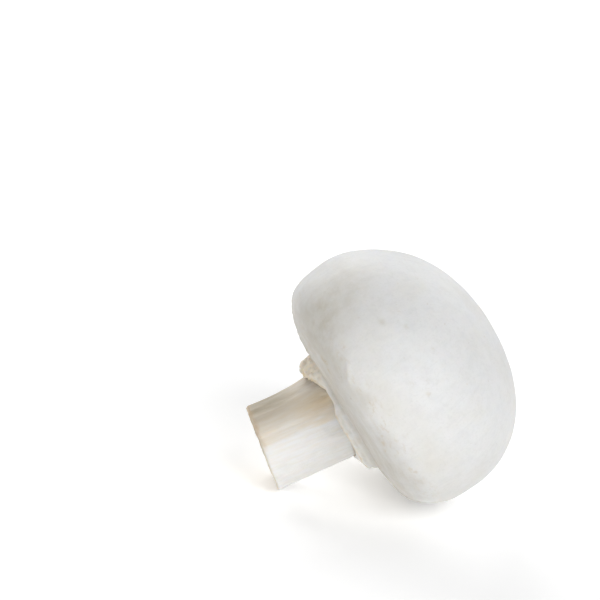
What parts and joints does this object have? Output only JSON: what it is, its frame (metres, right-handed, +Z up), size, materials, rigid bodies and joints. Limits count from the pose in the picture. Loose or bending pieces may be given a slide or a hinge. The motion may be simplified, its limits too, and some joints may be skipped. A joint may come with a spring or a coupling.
{
  "type": "button mushroom",
  "caption": "Fresh white button mushroom, a closed round cap on a short cut stem with a torn collar, lying on its side.",
  "frame": {"origin": "centre of the bounding box's base, on the surface that the mushroom lies on", "axes": "+Z up from the surface it lies on; the stem's cut end points to -X and a little down, the cap's crown to +X and up; -Y is the side turned to the viewer"},
  "size_m": [0.0502, 0.0504, 0.0461],
  "materials": {
    "mushroom": "matt, slightly silky skin"
  },
  "bodies": {
    "root": {"mushroom": "mushroom"}
  },
  "joints": []
}
